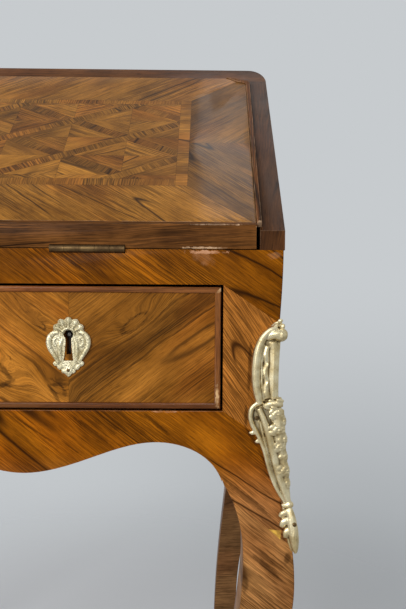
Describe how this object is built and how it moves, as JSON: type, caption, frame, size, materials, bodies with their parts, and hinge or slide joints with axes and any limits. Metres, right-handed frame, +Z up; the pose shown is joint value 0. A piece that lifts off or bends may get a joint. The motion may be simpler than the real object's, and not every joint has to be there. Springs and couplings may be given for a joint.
{
  "type": "slant-front desk",
  "caption": "Slant-front writing desk on curved cabriole legs, with a hinged fall held by slotted stays, lockable drawers and a pigeonhole nest inside.",
  "frame": {"origin": "on the floor under the middle of the desk's bounding box", "axes": "+X to the sitter's right, +Y from the drawer fronts to the back, +Z up"},
  "size_m": [0.729, 0.4456, 0.9445],
  "materials": {
    "veneer": "polished striped veneer",
    "dark_moulding": "polished dark wood",
    "carcase_wood": "plain oak",
    "gilt_bronze": "pale gilt, worn",
    "brass": "aged",
    "lock_iron": "dull",
    "leather": "tooled writing leather"
  },
  "bodies": {
    "case": {"right_front_leg": "veneer", "left_front_leg": "veneer", "right_back_leg": "veneer", "left_back_leg": "veneer", "right_chute": "gilt_bronze", "left_chute": "gilt_bronze", "right_side_panel": "veneer", "left_side_panel": "veneer", "right_cheek": "veneer", "left_cheek": "veneer", "right_cheek_bead": "dark_moulding", "left_cheek_bead": "dark_moulding", "right_case_leaf": "brass", "left_case_leaf": "brass", "sabots": "gilt_bronze", "front_apron": "veneer", "front_rail": "veneer", "centre_stile": "veneer", "centre_guide": "carcase_wood", "runner_frame": "carcase_wood", "writing_bed": "carcase_wood", "back_panel": "carcase_wood", "top_board": "veneer", "case_screws": "brass", "hinge_pins": "brass", "stay_studs": "brass", "nest_shelf": "carcase_wood", "nest_divider_left": "carcase_wood", "nest_divider_centre": "carcase_wood", "nest_divider_right": "carcase_wood"},
    "fall": {"fall_panel": "veneer", "fall_lipping": "dark_moulding", "fall_leather": "leather", "right_fall_leaf": "brass", "left_fall_leaf": "brass", "fall_screws": "brass", "fall_lock": "lock_iron", "fall_escutcheon": "gilt_bronze", "stay_pivots": "brass"},
    "fall_bolt": {"fall_lock_bolt": "lock_iron"},
    "right_stay": {"right_stay": "brass"},
    "right_drawer": {"right_drawer_front": "veneer", "right_drawer_cock_bead": "dark_moulding", "right_drawer_box": "carcase_wood", "right_drawer_bottom": "carcase_wood", "right_drawer_lock": "lock_iron", "right_drawer_escutcheon": "gilt_bronze"},
    "right_drawer_bolt": {"right_drawer_lock_bolt": "lock_iron"},
    "right_nest_drawer": {"right_nest_drawer": "carcase_wood", "right_nest_knob": "brass"},
    "left_stay": {"left_stay": "brass"},
    "left_drawer": {"left_drawer_front": "veneer", "left_drawer_cock_bead": "dark_moulding", "left_drawer_box": "carcase_wood", "left_drawer_bottom": "carcase_wood", "left_drawer_lock": "lock_iron", "left_drawer_escutcheon": "gilt_bronze"},
    "left_drawer_bolt": {"left_drawer_lock_bolt": "lock_iron"},
    "left_nest_drawer": {"left_nest_drawer": "carcase_wood", "left_nest_knob": "brass"}
  },
  "joints": [
    {"name": "fall_swing", "type": "hinge", "parent": "case", "child": "fall", "pos_m": [0, -0.20851, 0.705], "axis": [1, 0, 0], "range_deg": [0, 138]},
    {"name": "fall_bolt_slide", "type": "slide", "parent": "fall", "child": "fall_bolt", "axis": [0, 0.7431, 0.6691], "range_m": [0, 0.0075]},
    {"name": "right_stay_turn", "type": "hinge", "parent": "fall", "child": "right_stay", "pos_m": [0.317, -0.13714, 0.75984], "axis": [1, 0, 0], "range_deg": [-69, 0]},
    {"name": "right_drawer_slide", "type": "slide", "parent": "case", "child": "right_drawer", "axis": [0, -1, 0], "range_m": [0, 0.26]},
    {"name": "right_drawer_bolt_slide", "type": "slide", "parent": "right_drawer", "child": "right_drawer_bolt", "axis": [0, 0, 1], "range_m": [0, 0.0075]},
    {"name": "right_nest_drawer_slide", "type": "slide", "parent": "case", "child": "right_nest_drawer", "axis": [0, -1, 0], "range_m": [0, 0.12]},
    {"name": "left_stay_turn", "type": "hinge", "parent": "fall", "child": "left_stay", "pos_m": [-0.317, -0.13714, 0.75984], "axis": [1, 0, 0], "range_deg": [-69, 0]},
    {"name": "left_drawer_slide", "type": "slide", "parent": "case", "child": "left_drawer", "axis": [0, -1, 0], "range_m": [0, 0.26]},
    {"name": "left_drawer_bolt_slide", "type": "slide", "parent": "left_drawer", "child": "left_drawer_bolt", "axis": [0, 0, 1], "range_m": [0, 0.0075]},
    {"name": "left_nest_drawer_slide", "type": "slide", "parent": "case", "child": "left_nest_drawer", "axis": [0, -1, 0], "range_m": [0, 0.12]}
  ],
  "couplings": [
    {"joint": "right_stay_turn", "follows": "fall_swing", "ratio": -0.5},
    {"joint": "left_stay_turn", "follows": "fall_swing", "ratio": -0.5}
  ]
}
